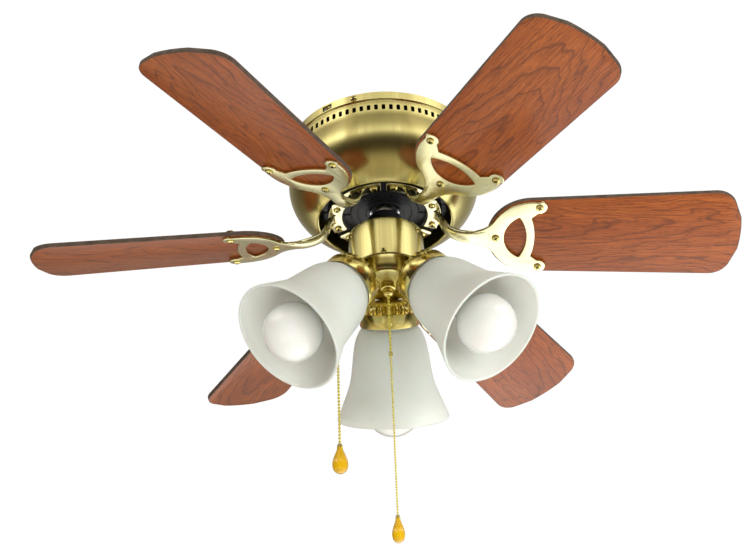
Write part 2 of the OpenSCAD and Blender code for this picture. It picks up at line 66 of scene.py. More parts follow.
def make_camera():
    """Looks up at the fan from in front and below."""
    distance, rise, yaw, dip, roll = 1.797, radians(34.65), radians(-0.39), radians(1.24), radians(-2.26)
    hub = Vector((0, 0, BLADE_Z * MM))
    place = hub - distance * Vector((0, cos(rise), sin(rise)))
    lift = rise - dip
    ahead = Vector((sin(yaw) * cos(lift), cos(yaw) * cos(lift), sin(lift)))
    right = ahead.cross(Z).normalized()
    up = right.cross(ahead)
    side = right * cos(roll) + up * sin(roll)
    top = up * cos(roll) - right * sin(roll)
    data = bpy.data.cameras.new("camera")
    data.sensor_width = 36
    data.lens = 79.37
    data.clip_start = 0.05
    camera = bpy.data.objects.new("camera", data)
    turned = Matrix((side, top, -ahead)).transposed().to_4x4()
    camera.matrix_world = Matrix.Translation(place) @ turned
    bpy.context.scene.collection.objects.link(camera)
    bpy.context.scene.camera = camera


def softbox(name, place, aim, size, watts):
    data = bpy.data.lights.new(name, "AREA")
    data.shape = "RECTANGLE"
    data.size, data.size_y = size
    data.energy = watts
    lamp = bpy.data.objects.new(name, data)
    lamp.location = place
    lamp.visible_glossy = False
    lamp.rotation_mode = "QUATERNION"
    lamp.rotation_quaternion = (Vector(aim) - Vector(place)).to_track_quat("-Z", "Y")
    bpy.context.scene.collection.objects.link(lamp)


def ramp_of(tree, value, stops):
    """A colour ramp with these (position, colour) stops."""
    made = tree.nodes.new("ShaderNodeValToRGB")
    tree.links.new(value, made.inputs[0])
    elements = made.color_ramp.elements
    elements[0].position, elements[0].color = stops[0][0], (*stops[0][1], 1)
    elements[1].position, elements[1].color = stops[-1][0], (*stops[-1][1], 1)
    for position, colour in stops[1:-1]:
        elements.new(position).color = (*colour, 1)
    return made.outputs["Color"]


def make_world():
    """Soft window high in front over a warm dim room, and plain white to the camera."""
    world = bpy.data.worlds.new("studio")
    bpy.context.scene.world = world
    world.use_nodes = True
    tree = world.node_tree
    x, y, z = node(tree, "SeparateXYZ", [(0, node(tree, "TexCoord").outputs["Generated"])]).outputs
    height = span(tree, z, -1, 1)
    front = ramp_of(tree, height, [
        (0.0, (0.17, 0.155, 0.12)), (0.06, (0.22, 0.20, 0.15)), (0.13, (0.25, 0.23, 0.17)),
        (0.22, (0.21, 0.19, 0.14)), (0.30, (0.08, 0.066, 0.042)), (0.38, (0.02, 0.016, 0.010)),
        (0.46, (0.014, 0.011, 0.007)), (0.60, (0.012, 0.010, 0.007)), (0.67, (0.04, 0.034, 0.024)),
        (0.705, (0.17, 0.16, 0.13)), (0.74, (0.46, 0.45, 0.42)), (0.775, (0.78, 0.78, 0.76)),
        (0.82, (0.74, 0.74, 0.72)), (0.86, (0.22, 0.20, 0.16)), (1.0, (0.12, 0.115, 0.10))])
    around = math(tree, "ARCTAN2", x, math(tree, "MULTIPLY", y, -1))
    bars = ramp_of(tree, span(tree, around, -pi, pi), [
        (0.0, (1, 1, 1)), (0.2, (0.8, 0.78, 0.72)), (0.27, (0.5, 0.47, 0.4)), (0.34, (1, 1, 1)),
        (0.375, (0.9, 0.9, 0.88)), (0.395, (0.42, 0.39, 0.32)), (0.42, (0.62, 0.61, 0.58)),
        (0.5, (0.54, 0.53, 0.50)), (0.58, (0.66, 0.65, 0.62)), (0.605, (0.52, 0.49, 0.42)),
        (0.63, (1, 1, 1)), (0.69, (0.95, 0.95, 0.95)), (0.75, (0.5, 0.48, 0.42)), (1.0, (1, 1, 1))])

    front = blend_colours(tree, 1.0, front, bars, "MULTIPLY")
    back = ramp_of(tree, height, [
        (0.0, (0.50, 0.50, 0.49)), (0.08, (0.62, 0.62, 0.61)), (0.25, (0.58, 0.58, 0.57)),
        (0.34, (0.40, 0.40, 0.39)), (0.40, (0.11, 0.11, 0.10)), (0.5, (0.09, 0.085, 0.075)),
        (1.0, (0.2, 0.2, 0.2))])
    side = ramp_of(tree, span(tree, x, -1, 1), [
        (0.0, (0.25, 0.22, 0.17)), (0.3, (0.62, 0.60, 0.55)), (0.6, (1, 1, 1)), (1.0, (0.9, 0.9, 0.9))])
    back = blend_colours(tree, 1.0, back, side, "MULTIPLY")
    room = blend_colours(tree, span(tree, y, -0.15, 0.35), front, back)
    seen = node(tree, "LightPath").outputs["Is Camera Ray"]
    background = tree.nodes["Background"].inputs
    tree.links.new(blend_colours(tree, seen, room, (1, 1, 1, 1)), background["Color"])
    tree.links.new(span(tree, seen, 0, 1, ROOM_LIGHT, BACKDROP), background["Strength"])


def floor_paint():
    """Plain pale paint on the upper side; from below the floor is clear, so the fan shows."""
    material, tree, _ = finish_of("floor_paint", 0.0, Base_Color=(0.78, 0.77, 0.75, 1), Roughness=0.8)
    mixed = node(tree, "MixShader", [
        (0, node(tree, "NewGeometry").outputs["Backfacing"]),
        (1, tree.nodes["Principled BSDF"].outputs[0]),
        (2, node(tree, "BsdfTransparent").outputs[0])])
    tree.links.new(mixed.outputs[0], tree.nodes["Material Output"].inputs["Surface"])
    return material


def make_studio():
    bpy.context.scene.view_settings.view_transform = "Standard"
    make_world()
    softbox("key_light", (-1.6, -1.9, 0.6), (0, 0, -0.2), (1.4, 1.4), 24)
    softbox("fill_light", (1.9, -1.4, -0.6), (0, 0, -0.2), (1.2, 1.6), 40)
    softbox("low_light", (0.1, -0.7, -1.45), (0, 0, -0.15), (1.6, 0.8), 7)
    softbox("floor_wash", (0, 2.6, 0.9), (0, 2.2, FLOOR_Z), (4, 2), 110)
    bpy.ops.mesh.primitive_plane_add(size=60, location=(0, 0, FLOOR_Z))
    floor = bpy.context.object
    floor.name = "floor"
    floor.data.materials.append(floor_paint())
    floor.visible_glossy = False


# ---------- Curves ----------


def arc(centre, r, start, end, n):
    """Points on an arc in a plane, angles in degrees."""
    turns = [radians(start + (end - start) * i / n) for i in range(n + 1)]
    return [(centre[0] + r * cos(a), centre[1] + r * sin(a)) for a in turns]


def flowing(points, steps):
    """A smooth curve through all the points."""
    p = [Vector(q) for q in points]
    p = [2 * p[0] - p[1], *p, 2 * p[-1] - p[-2]]
    out = []
    for a, b, c, d in zip(p, p[1:], p[2:], p[3:]):
        for k in range(steps):
            t = k / steps
            out.append(0.5 * (2 * b + (c - a) * t + (2 * a - 5 * b + 4 * c - d) * t**2
                              + (3 * b - a - 3 * c + d) * t**3))
    return out + [p[-2]]


def curve(points, steps):
    """The same as plain tuples."""
    return [tuple(p) for p in flowing(points, steps)]


def rounded(corners, radii, closed=False, n=4):
    """An outline with each corner replaced by an arc of about that radius; 0 keeps the corner."""
    out, count = [], len(corners)
    for i, (corner, r) in enumerate(zip(corners, radii)):
        here = Vector(corner)
        if not r or (not closed and i in (0, count - 1)):
            out.append(here)
            continue
        before = (Vector(corners[i - 1]) - here)
        after = (Vector(corners[(i + 1) % count]) - here)
        cut = min(r, before.length * 0.49, after.length * 0.49)
        a, b = here + before.normalized() * cut, here + after.normalized() * cut
        for k in range(n + 1):
            t = k / n
            out.append(a * (1 - t) ** 2 + here * 2 * t * (1 - t) + b * t**2)
    return out


# ---------- Making pieces ----------


def spin_round(bm, profile, steps, closed=False):
    """Turns a profile of (radius, height) points round the Z axis."""
    ring = [bm.verts.new((p[0], 0, p[1])) for p in profile]
    pairs = list(zip(ring, ring[1:])) + ([(ring[-1], ring[0])] if closed else [])
    edges = [bm.edges.new(e) for e in pairs]
    bmesh.ops.spin(bm, geom=ring + edges, axis=Z, cent=(0, 0, 0), angle=2 * pi,
                   steps=steps, use_merge=True)
    bmesh.ops.remove_doubles(bm, verts=bm.verts, dist=0.002)
    bmesh.ops.recalc_face_normals(bm, faces=bm.faces)


def turned(profile, steps=96, closed=False):
    bm = bmesh.new()
    spin_round(bm, profile, steps, closed)
    return bm


def shade(bm, sharp=38):
    """Smooth faces, with edges that stay crisp where they turn by more than sharp degrees."""
    for f in bm.faces:
        f.smooth = True
    for e in bm.edges:
        e.smooth = len(e.link_faces) == 2 and e.calc_face_angle() < radians(sharp)


def finish_piece(bm, name, body, slot, stands_for=(), sharp=38, materials=()):
    """Makes the object of a bmesh drawn in millimetres and puts it on its CAD body.

    It takes the finish of its slot unless it has materials of its own.
    """
    bmesh.ops.scale(bm, vec=(MM, MM, MM), verts=bm.verts)
    shade(bm, sharp)
    mesh = bpy.data.meshes.new(name)
    bm.to_mesh(mesh)
    bm.free()
    for material in materials or [FINISH[slot]]:
        mesh.materials.append(material)
    piece = bpy.data.objects.new(name, mesh)
    bpy.context.scene.collection.objects.link(piece)
    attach(piece, body)
    if stands_for:
        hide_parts(*stands_for)
    return piece


def copy_into(bm, source, matrix):
    """Adds a copy of another bmesh, moved by matrix."""
    spare = bpy.data.meshes.new("spare")
    source.to_mesh(spare)
    before = len(bm.verts)
    bm.from_mesh(spare)
    bpy.data.meshes.remove(spare)
    bm.verts.ensure_lookup_table()
    bmesh.ops.transform(bm, matrix=matrix, verts=bm.verts[before:])


def turn(degrees_, axis="Z"):
    return Matrix.Rotation(radians(degrees_), 4, axis)


def shift(x, y, z):
    return Matrix.Translation((x, y, z))


def blade_place(i):
    """From a blade's flat layout to its place on the fan."""
    return (turn((i - 1) * 60) @ shift(PIVOT_R, 0, BLADE_Z) @ turn(DROOP, "Y")
            @ turn(-PITCH, "X") @ shift(-PIVOT_R, 0, 0))


def shade_place(i):
    """From a shade's own axis, +Z from the rim back to the light pan, to its place."""
    return turn(90 + (i - 1) * 120) @ shift(RIM_OUT, 0, RIM_Z) @ turn(-SHADE_TILT, "Y")


def cut_away(bm, cutter):
    """What is left of a closed bmesh after the cutter is taken away."""
    objects = []
    for part in (bm, cutter):
        mesh = bpy.data.meshes.new("spare")
        part.to_mesh(mesh)
        part.free()
        objects.append(bpy.data.objects.new("spare", mesh))
        bpy.context.scene.collection.objects.link(objects[-1])
    body, tool = objects
    cut = body.modifiers.new("cut", "BOOLEAN")
    cut.object, cut.operation, cut.solver, cut.use_self = tool, "DIFFERENCE", "EXACT", True
    result = bpy.data.meshes.new_from_object(body.evaluated_get(bpy.context.evaluated_depsgraph_get()))
    out = bmesh.new()
    out.from_mesh(result)
    for o in objects:
        bpy.data.objects.remove(o)
    bpy.data.meshes.remove(result)
    return out


def block(bm, low, high):
    """A closed box between two corners."""
    low, high = Vector(low), Vector(high)
    size, middle = high - low, (low + high) / 2
    bmesh.ops.create_cube(bm, size=1, matrix=Matrix.Translation(middle) @ Matrix.Diagonal((*size, 1)))


def slab(bm, outline, low, thickness):
    """A closed slab over a flat outline."""
    face = bm.faces.new([bm.verts.new((x, y, low)) for x, y in outline])
    raised = bmesh.ops.extrude_face_region(bm, geom=[face])["geom"]
    top = [g for g in raised if isinstance(g, bmesh.types.BMVert)]
    bmesh.ops.translate(bm, vec=(0, 0, thickness), verts=top)
    bmesh.ops.recalc_face_normals(bm, faces=bm.faces)


# ---------- Shared finishes ----------


def new_group(name, inputs, outputs):
    """A shader node group with named sockets; inputs are (name, kind, value)."""
    tree = bpy.data.node_groups.new(name, "ShaderNodeTree")
    for label, kind, value in inputs:
        socket = tree.interface.new_socket(name=label, in_out="INPUT", socket_type="NodeSocket" + kind)
        if value is not None:
            socket.default_value = value
    for label, kind in outputs:
        tree.interface.new_socket(name=label, in_out="OUTPUT", socket_type="NodeSocket" + kind)
    return tree, tree.nodes.new("NodeGroupInput").outputs, tree.nodes.new("NodeGroupOutput").inputs


def node(tree, kind, values=(), **settings):
    """Adds a shader node; values are (input, value or output to link)."""
    made = tree.nodes.new("ShaderNode" + kind)
    for key, value in settings.items():
        setattr(made, key, value)
    for key, value in values:
        if isinstance(value, bpy.types.NodeSocket):
            tree.links.new(value, made.inputs[key])
        else:
            made.inputs[key].default_value = value
    return made


def math(tree, operation, *values):
    return node(tree, "Math", enumerate(values), operation=operation).outputs[0]


def noise(tree, vector, scale, detail=3, rough=0.5):
    return node(tree, "TexNoise", [("Vector", vector), ("Scale", scale), ("Detail", detail),
                                   ("Roughness", rough)]).outputs["Fac"]


def span(tree, value, low, high, to_low=0.0, to_high=1.0):
    """Stretches low..high to to_low..to_high, and clamps."""
    made = node(tree, "MapRange", [("Value", value), ("From Min", low), ("From Max", high)])
    for key, end in (("To Min", to_low), ("To Max", to_high)):
        if isinstance(end, bpy.types.NodeSocket):
            tree.links.new(end, made.inputs[key])
        else:
            made.inputs[key].default_value = end
    return made.outputs["Result"]


def blend_colours(tree, fac, first, second, blend="MIX"):
    made = node(tree, "Mix", data_type="RGBA", blend_type=blend)
    inputs = made.inputs
    for socket, value in ((inputs["Factor"], fac), (inputs["A"], first), (inputs["B"], second)):
        target = socket
        if socket.name in "AB":
            target = [s for s in inputs if s.name == socket.name and s.type == "RGBA"][0]
        if isinstance(value, bpy.types.NodeSocket):
            tree.links.new(value, target)
        else:
            target.default_value = value
    return [s for s in made.outputs if s.type == "RGBA"][0]


def make_mottle():
    """Slow changes of colour and gloss over a surface, with a fine tooth."""
    tree, given, out = new_group("mottle", [
        ("Vector", "Vector", None), ("Scale", "Float", 30.0), ("Tooth", "Float", 900.0),
        ("Light", "Color", (1, 1, 1, 1)), ("Dark", "Color", (0.5, 0.5, 0.5, 1)),
        ("Smooth", "Float", 0.2), ("Rough", "Float", 0.4)],
        [("Color", "Color"), ("Roughness", "Float"), ("Height", "Float")])
    slow = span(tree, noise(tree, given["Vector"], given["Scale"], 4, 0.55), 0.32, 0.7)
    fine = noise(tree, given["Vector"], given["Tooth"], 2, 0.6)
    mixed = math(tree, "MULTIPLY_ADD", fine, 0.35, math(tree, "MULTIPLY", slow, 0.65))
    tree.links.new(blend_colours(tree, mixed, given["Light"], given["Dark"]), out["Color"])
    tree.links.new(span(tree, mixed, 0.0, 1.0, given["Smooth"], given["Rough"]), out["Roughness"])
    tree.links.new(fine, out["Height"])
    return tree


def make_round_brushing():
    """Hair lines that run round an axis: stretches a place to long thin threads."""
    tree, given, out = new_group("round_brushing", [
        ("Vector", "Vector", None), ("Along", "Float", 2200.0), ("Around", "Float", 3.0)],
        [("Lines", "Float"), ("Bands", "Float")])
    parts = node(tree, "SeparateXYZ", [(0, given["Vector"])]).outputs
    flat = node(tree, "CombineXYZ", [(0, parts[0]), (1, parts[1])]).outputs[0]
    spoke = node(tree, "VectorMath", [(0, flat)], operation="NORMALIZE").outputs[0]
    out_r = node(tree, "VectorMath", [(0, flat)], operation="LENGTH").outputs["Value"]
    around = node(tree, "VectorMath", [(0, spoke), ("Scale", given["Around"])],
                  operation="SCALE").outputs[0]
    depth = math(tree, "ADD", parts[2], math(tree, "MULTIPLY", out_r, 0.7))
    line = node(tree, "CombineXYZ", [(2, math(tree, "MULTIPLY", depth, given["Along"]))]).outputs[0]
    place = node(tree, "VectorMath", [(0, around), (1, line)], operation="ADD").outputs[0]
    tree.links.new(noise(tree, place, 1.0, 3, 0.6), out["Lines"])
    sweep = node(tree, "VectorMath", [(0, spoke), ("Scale", 7.0)], operation="SCALE").outputs[0]
    tree.links.new(noise(tree, sweep, 1.0, 3, 0.7), out["Bands"])
    return tree


def finish_of(name, metallic, **sockets):
    """A new material: its tree and its shader, with plain numbers set on the shader."""
    material = bpy.data.materials.new(name)
    material.use_nodes = True
    shader = material.node_tree.nodes["Principled BSDF"]
    shader.inputs["Metallic"].default_value = metallic
    for key, value in sockets.items():
        shader.inputs[key.replace("_", " ")].default_value = value
    return material, material.node_tree, shader.inputs


def place_on(tree, attribute=None):
    """Where a point is: on the object, or in a piece's own layout."""
    if attribute:
        return node(tree, "Attribute", attribute_name=attribute).outputs["Vector"]
    return node(tree, "TexCoord").outputs["Object"]


def bump(tree, shader, height, depth, strength=0.3):
    made = node(tree, "Bump", [("Height", height), ("Strength", strength), ("Distance", depth)])
    tree.links.new(made.outputs[0], shader["Normal"])


def mottled(name, light, dark, smooth, rough, scale=30, tooth=900, depth=0.00005,
            metallic=0.0, attribute=None, **sockets):
    """A material that is the mottle group on a plain shader."""
    material, tree, shader = finish_of(name, metallic, **sockets)
    made = node(tree, "Group", node_tree=GROUPS["mottle"])
    tree.links.new(place_on(tree, attribute), made.inputs["Vector"])
    for key, value in (("Light", (*light, 1)), ("Dark", (*dark, 1)), ("Smooth", smooth),
                       ("Rough", rough), ("Scale", scale), ("Tooth", tooth)):
        made.inputs[key].default_value = value
    tree.links.new(made.outputs["Color"], shader["Base Color"])
    tree.links.new(made.outputs["Roughness"], shader["Roughness"])
    bump(tree, shader, made.outputs["Height"], depth)
    return material


def spun_brass(name, light, dark, smooth, rough, anisotropy):
    """Brass brushed round the fan's axis, with a clear lacquer."""
    material, tree, shader = finish_of(name, 1.0, Anisotropic=anisotropy, Anisotropic_Rotation=0.25,
                                       Coat_Weight=0.25, Coat_Roughness=0.12)
    brushed = node(tree, "Group", [("Vector", place_on(tree))], node_tree=GROUPS["round_brushing"])
    lines, bands = brushed.outputs["Lines"], brushed.outputs["Bands"]
    wide = math(tree, "MULTIPLY", span(tree, bands, 0.3, 0.7), 0.55)
    mixed = math(tree, "MULTIPLY_ADD", lines, 0.45, wide)
    tree.links.new(blend_colours(tree, mixed, (*light, 1), (*dark, 1)), shader["Base Color"])
    tree.links.new(span(tree, mixed, 0.0, 1.0, smooth, rough), shader["Roughness"])
    bump(tree, shader, lines, 0.00004, 0.22)
    tangent = node(tree, "Tangent", direction_type="RADIAL", axis="Z")
    tree.links.new(tangent.outputs[0], shader["Tangent"])
    return material


def cherry():
    """Lacquered cherry: growth rings cut along the blade, dark lines and fine pores."""
    material, tree, shader = finish_of("cherry_wood", 0.0, Coat_Weight=0.12, Coat_Roughness=0.14,
                                       Specular_IOR_Level=0.25)
    plank = place_on(tree, "plank")
    x, y = node(tree, "SeparateXYZ", [(0, plank)]).outputs[:2]

    def stretched(along, across, through):
        """The plank's layout, stretched by these three factors."""
        return node(tree, "VectorMath", [(0, plank), (1, (along, across, through))],
                    operation="MULTIPLY").outputs[0]

    def darker(tone, mask, strength, colour):
        return blend_colours(tree, math(tree, "MULTIPLY", mask, strength), tone, (*colour, 1))

    slow = stretched(6.0, 26.0, 9.0)
    sway = math(tree, "SUBTRACT", noise(tree, slow, 1.0, 2, 0.5), 0.5)
    ripple = math(tree, "SUBTRACT", noise(tree, stretched(38.0, 90.0, 1.0), 1.0, 2, 0.5), 0.5)
    heart = math(tree, "MULTIPLY_ADD", sway, 0.09, y)
    deep = math(tree, "MULTIPLY_ADD", x, 0.12, math(tree, "MULTIPLY_ADD", sway, 0.03, 0.004))
    ring_r = math(tree, "SQRT", math(tree, "ADD", math(tree, "MULTIPLY", heart, heart),
                                     math(tree, "MULTIPLY", deep, deep)))
    ring_r = math(tree, "MULTIPLY_ADD", ripple, 0.004, ring_r)
    ring = math(tree, "FRACT", math(tree, "MULTIPLY", ring_r, 165.0))
    late = node(tree, "ValToRGB", [(0, ring)])
    stops = late.color_ramp.elements
    stops[0].position, stops[0].color = 0.0, (0, 0, 0, 1)
    stops[1].position, stops[1].color = 1.0, (0, 0, 0, 1)
    for position, grey in ((0.5, 0.04), (0.78, 0.3), (0.88, 1.0), (0.95, 0.5)):
        stops.new(position).color = (grey, grey, grey, 1)
    hair = noise(tree, stretched(26.0, 800.0, 40.0), 1.0, 3, 0.65)
    pores = span(tree, noise(tree, stretched(90.0, 1100.0, 1.0), 1.0, 1, 0.5), 0.6, 0.72)
    tone = blend_colours(tree, span(tree, noise(tree, slow, 0.8, 3, 0.6), 0.3, 0.7),
                         (*WOOD_LIGHT, 1), (*WOOD_MID, 1))
    tone = darker(tone, span(tree, hair, 0.35, 0.66), 0.72, WOOD_DARK)
    tone = darker(tone, late.outputs[0], 0.6, WOOD_LINE)
    tone = darker(tone, pores, 0.75, WOOD_LINE)
    tree.links.new(tone, shader["Base Color"])
    tree.links.new(span(tree, hair, 0.2, 0.8, 0.24, 0.36), shader["Roughness"])
    bump(tree, shader, math(tree, "SUBTRACT", hair, pores), 0.00006, 0.25)
    return material


def frosted():
    """Frosted shade glass: soft, pale and a little see-through."""
    material, tree, shader = finish_of("frosted_glass", 0.0, Transmission_Weight=0.3, IOR=1.45,
                                       Specular_IOR_Level=0.5, Subsurface_Weight=0.2,
                                       Subsurface_Scale=0.01)
    place = place_on(tree)
    cloud = noise(tree, place, 26.0, 3, 0.5)
    tooth = noise(tree, place, 1400.0, 2, 0.6)
    tree.links.new(blend_colours(tree, cloud, (*GLASS_LIGHT, 1), (*GLASS_DARK, 1)), shader["Base Color"])
    tree.links.new(span(tree, cloud, 0.3, 0.7, 0.46, 0.6), shader["Roughness"])
    bump(tree, shader, tooth, 0.00004, 0.25)
    return material


WOOD_LIGHT, WOOD_MID = (0.45, 0.120, 0.022), (0.32, 0.074, 0.014)
WOOD_DARK, WOOD_LINE = (0.15, 0.030, 0.008), (0.06, 0.014, 0.006)
GLASS_LIGHT, GLASS_DARK = (0.88, 0.90, 0.86), (0.81, 0.84, 0.79)

GROUPS = {"mottle": make_mottle(), "round_brushing": make_round_brushing()}

FINISH = {
    "brushed_brass": spun_brass("brushed_brass", (0.69, 0.61, 0.26), (0.52, 0.44, 0.16), 0.19, 0.3, 0.6),
    "cast_brass": mottled("cast_brass", (0.88, 0.84, 0.56), (0.82, 0.77, 0.46), 0.2, 0.3,
                          40, 1400, 0.00002, 1.0, Coat_Weight=0.2, Coat_Roughness=0.15),
    "bright_brass": mottled("bright_brass", (0.80, 0.69, 0.27), (0.66, 0.54, 0.17), 0.14, 0.26,
                            90, 1500, 0.00003, 1.0, Coat_Weight=0.3, Coat_Roughness=0.08),
    "chain_brass": mottled("chain_brass", (0.90, 0.80, 0.16), (0.72, 0.60, 0.09), 0.2, 0.34,
                           160, 1500, 0.00003, 0.45, Coat_Weight=0.3, Coat_Roughness=0.1),
    "cherry_wood": cherry(),
    "wood_edge": mottled("wood_edge", (0.11, 0.075, 0.055), (0.045, 0.028, 0.02), 0.45, 0.7,
                         120, 1600, 0.0001, attribute="plank"),
    "black_paint": mottled("black_paint", (0.008, 0.008, 0.010), (0.02, 0.02, 0.024), 0.2, 0.4,
                           45, 800, 0.0001, Specular_IOR_Level=0.2),
    # Steel of the mounting parts, painted darker than plated steel: painted shade, so the plate seen
    # through the keyhole in the collar looks dark
    "ceiling_steel": mottled("ceiling_steel", (0.30, 0.30, 0.31), (0.18, 0.18, 0.19), 0.35, 0.55,
                             55, 1000, 0.00005, 1.0),
    "core_steel": mottled("core_steel", (0.34, 0.34, 0.36), (0.18, 0.18, 0.19), 0.35, 0.6,
                          80, 1500, 0.0001, 1.0),
    "bearing_steel": mottled("bearing_steel", (0.74, 0.75, 0.77), (0.55, 0.56, 0.58), 0.14, 0.26,
                             70, 1200, 0.00003, 1.0),
    "copper_winding": mottled("copper_winding", (0.72, 0.30, 0.13), (0.45, 0.15, 0.06), 0.24, 0.42,
                              150, 1700, 0.0002, 0.9),
    "cage_aluminium": mottled("cage_aluminium", (0.74, 0.75, 0.76), (0.55, 0.56, 0.57), 0.34, 0.52,
                              60, 900, 0.0001, 1.0),
    "black_plastic": mottled("black_plastic", (0.02, 0.02, 0.021), (0.045, 0.045, 0.046), 0.4, 0.6,
                             60, 1300, 0.0001),
    "rubber": mottled("rubber", (0.02, 0.02, 0.02), (0.05, 0.048, 0.046), 0.6, 0.8, 70, 1100, 0.0001),
    "porcelain": mottled("porcelain", (0.86, 0.85, 0.81), (0.74, 0.73, 0.68), 0.14, 0.26,
                         40, 900, 0.00003, Coat_Weight=0.5, Coat_Roughness=0.06),
    "bulb_white": mottled("bulb_white", (0.84, 0.84, 0.82), (0.78, 0.78, 0.75), 0.08, 0.16, 25, 700,
                          0.00001, Coat_Weight=0.6, Coat_Roughness=0.05, Subsurface_Weight=0.2,
                          Subsurface_Scale=0.01),
    "amber_fob": mottled("amber_fob", (0.76, 0.45, 0.008), (0.70, 0.38, 0.004), 0.08, 0.14, 60, 400,
                         0.000004, Transmission_Weight=0.1, IOR=1.48, Coat_Weight=0.4,
                         Coat_Roughness=0.05),
    "frosted_glass": frosted(),
    "recess_shadow": mottled("recess_shadow", (0.05, 0.04, 0.025), (0.02, 0.016, 0.01), 0.5, 0.7),
}
SCREW_FINISH = [FINISH["bright_brass"], FINISH["recess_shadow"]]


def refinish(slot_name, *names):
    """A CAD node that is already the right shape gets its full finish."""
    for name in names:
        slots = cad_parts[name].material_slots
        for s in slots:
            s.material = FINISH[slot_name]


# ---------- Chains ----------

FAN_ROUTE = [(36, -149), (44, -149), (51, -149.2), (56, -150.6), (60, -154.5), (62.6, -161),
             (63.8, -172), (64.2, -190), (64.4, -220), (64.5, -255), (64.5, -290), (64.5, -320),
             (64.5, -351)]
LIGHT_TOP, COUPLING, LIGHT_LOW = -180, -264, -448


def bead_chain(bm, route, ball_r, pitch):
    """Hollow balls on short links along a route; returns the route's length."""
    ball = bmesh.new()
    bmesh.ops.create_uvsphere(ball, u_segments=9, v_segments=6, radius=ball_r)
    link = bmesh.new()
    bmesh.ops.create_cone(link, segments=6, radius1=ball_r * 0.3, radius2=ball_r * 0.3, depth=pitch)
    reach, length = pitch * 0.5, 0.0
    for a, b in zip(route, route[1:]):
        piece = (b - a).length
        while reach <= length + piece:
            here = a + (b - a) * ((reach - length) / piece)
            facing = (b - a).to_track_quat("Z", "Y").to_matrix().to_4x4()
            spot = Matrix.Translation(here) @ facing
            copy_into(bm, ball, spot)
            copy_into(bm, link, spot @ shift(0, 0, pitch / 2))
            reach += pitch
        length += piece
    ball.free()
    link.free()
    return length


def make_chains():
    turned_route = [turn(150).to_3x3() @ Vector((r, 0, z)) for r, z in FAN_ROUTE]
    route = flowing(turned_route, 6)
    bm = bmesh.new()
    length = bead_chain(bm, route, 1.6, 3.9)
    chain = finish_piece(bm, "fan_pull_chain", "root", "bright_brass", ["fan_chain"],
                         materials=[FINISH["chain_brass"]])
    chain.parent = None
    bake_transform(chain)
    fob = make_fob("fan_pull_fob", "fan_pull", "fan_fob", turn(150) @ shift(64.5, 0, -351), 33, 8.2)

    bm = bmesh.new()
    upper = [Vector((0, 0, LIGHT_TOP + (COUPLING - LIGHT_TOP) * k / 16)) for k in range(17)]
    lower = [Vector((0, 0, COUPLING + (LIGHT_LOW - COUPLING) * k / 32)) for k in range(33)]
    length = bead_chain(bm, upper, 1.6, 3.9) + bead_chain(bm, lower, 1.2, 3.0)
    light = finish_piece(bm, "light_pull_chain", "light_pull", "bright_brass", ["light_chain"],
                         materials=[FINISH["chain_brass"]])
    joint = turned([(0, 0), (1.4, 0), (2.1, 0.7), (2.2, 1.2), (1.95, 2), (1.95, 3), (2.2, 3.8),
                    (2.1, 4.4), (1.6, 5), (0, 5)], 24)
    bmesh.ops.transform(joint, matrix=shift(0, 0, COUPLING - 5), verts=joint.verts)
    coupling = finish_piece(joint, "chain_joint", "light_pull", "bright_brass",
                            ["chain_coupling"])
    fob = make_fob("light_pull_fob", "light_pull", "light_fob", shift(0, 0, LIGHT_LOW), 29, 6.35)


def make_fob(name, body, stands_for, matrix, length, r):
    """Amber drop on a small brass ferrule."""
    side = [(r * a, -length * b) for a, b in ((0.2, 0.02), (0.3, 0.12), (0.55, 0.3), (0.88, 0.52),
                                              (1.0, 0.7), (0.86, 0.88), (0.45, 0.985))]
    profile = [(0, -length * 0.02)] + curve(side, 6) + [(0, -length)]
    bm = turned(profile, 48)
    bmesh.ops.transform(bm, matrix=matrix, verts=bm.verts)
    drop = finish_piece(bm, name, body, "amber_fob", [stands_for])
    cap = turned([(0, 0), (r * 0.24, -0.2), (r * 0.33, -length * 0.04), (r * 0.36, -length * 0.1),
                  (r * 0.42, -length * 0.14), (r * 0.36, -length * 0.15), (0, -length * 0.12)], 32)
    bmesh.ops.transform(cap, matrix=matrix, verts=cap.verts)
    finish_piece(cap, name + "_ferrule", body, "bright_brass")
    return drop


# ---------- Screws ----------


def cross_screw(head_r, head_h, recess=0.55):
    """Pan head with a cross recess: seat at z = 0, head below it."""
    dome = [(head_r * cos(radians(a)), -head_h * (0.28 + 0.72 * sin(radians(a))))
            for a in range(0, 91, 15)]
    dome[-1] = (0, -head_h)
    bm = turned([(0, 0), (head_r * 0.96, 0)] + dome, 28)
    arm, w = head_r * recess, head_r * 0.17
    cutter = bmesh.new()
    block(cutter, (-arm, -w, -head_h * 1.5), (arm, w, -head_h * 0.45))
    block(cutter, (-w, -arm, -head_h * 1.45), (w, arm, -head_h * 0.5))
    bm = cut_away(bm, cutter)
    for f in bm.faces:
        c = f.calc_center_median()
        if -0.8 * head_h < c.z < -0.2 * head_h and c.xy.length < 0.62 * head_r:
            f.material_index = 1
    return bm


def screws(name, head, places, body, stands_for):
    """Copies of a screw head, each turned a little differently."""
    random.seed(7)
    bm = bmesh.new()
    for place in places:
        copy_into(bm, head, place @ turn(random.uniform(0, 90)))
    head.free()
    finish_piece(bm, name, body, "bright_brass", [stands_for], 30, SCREW_FINISH)


def facing_out(angle, r, z):
    """A head whose top faces outwards from the fan's axis."""
    return turn(angle) @ shift(r, 0, z) @ turn(-90, "Y")


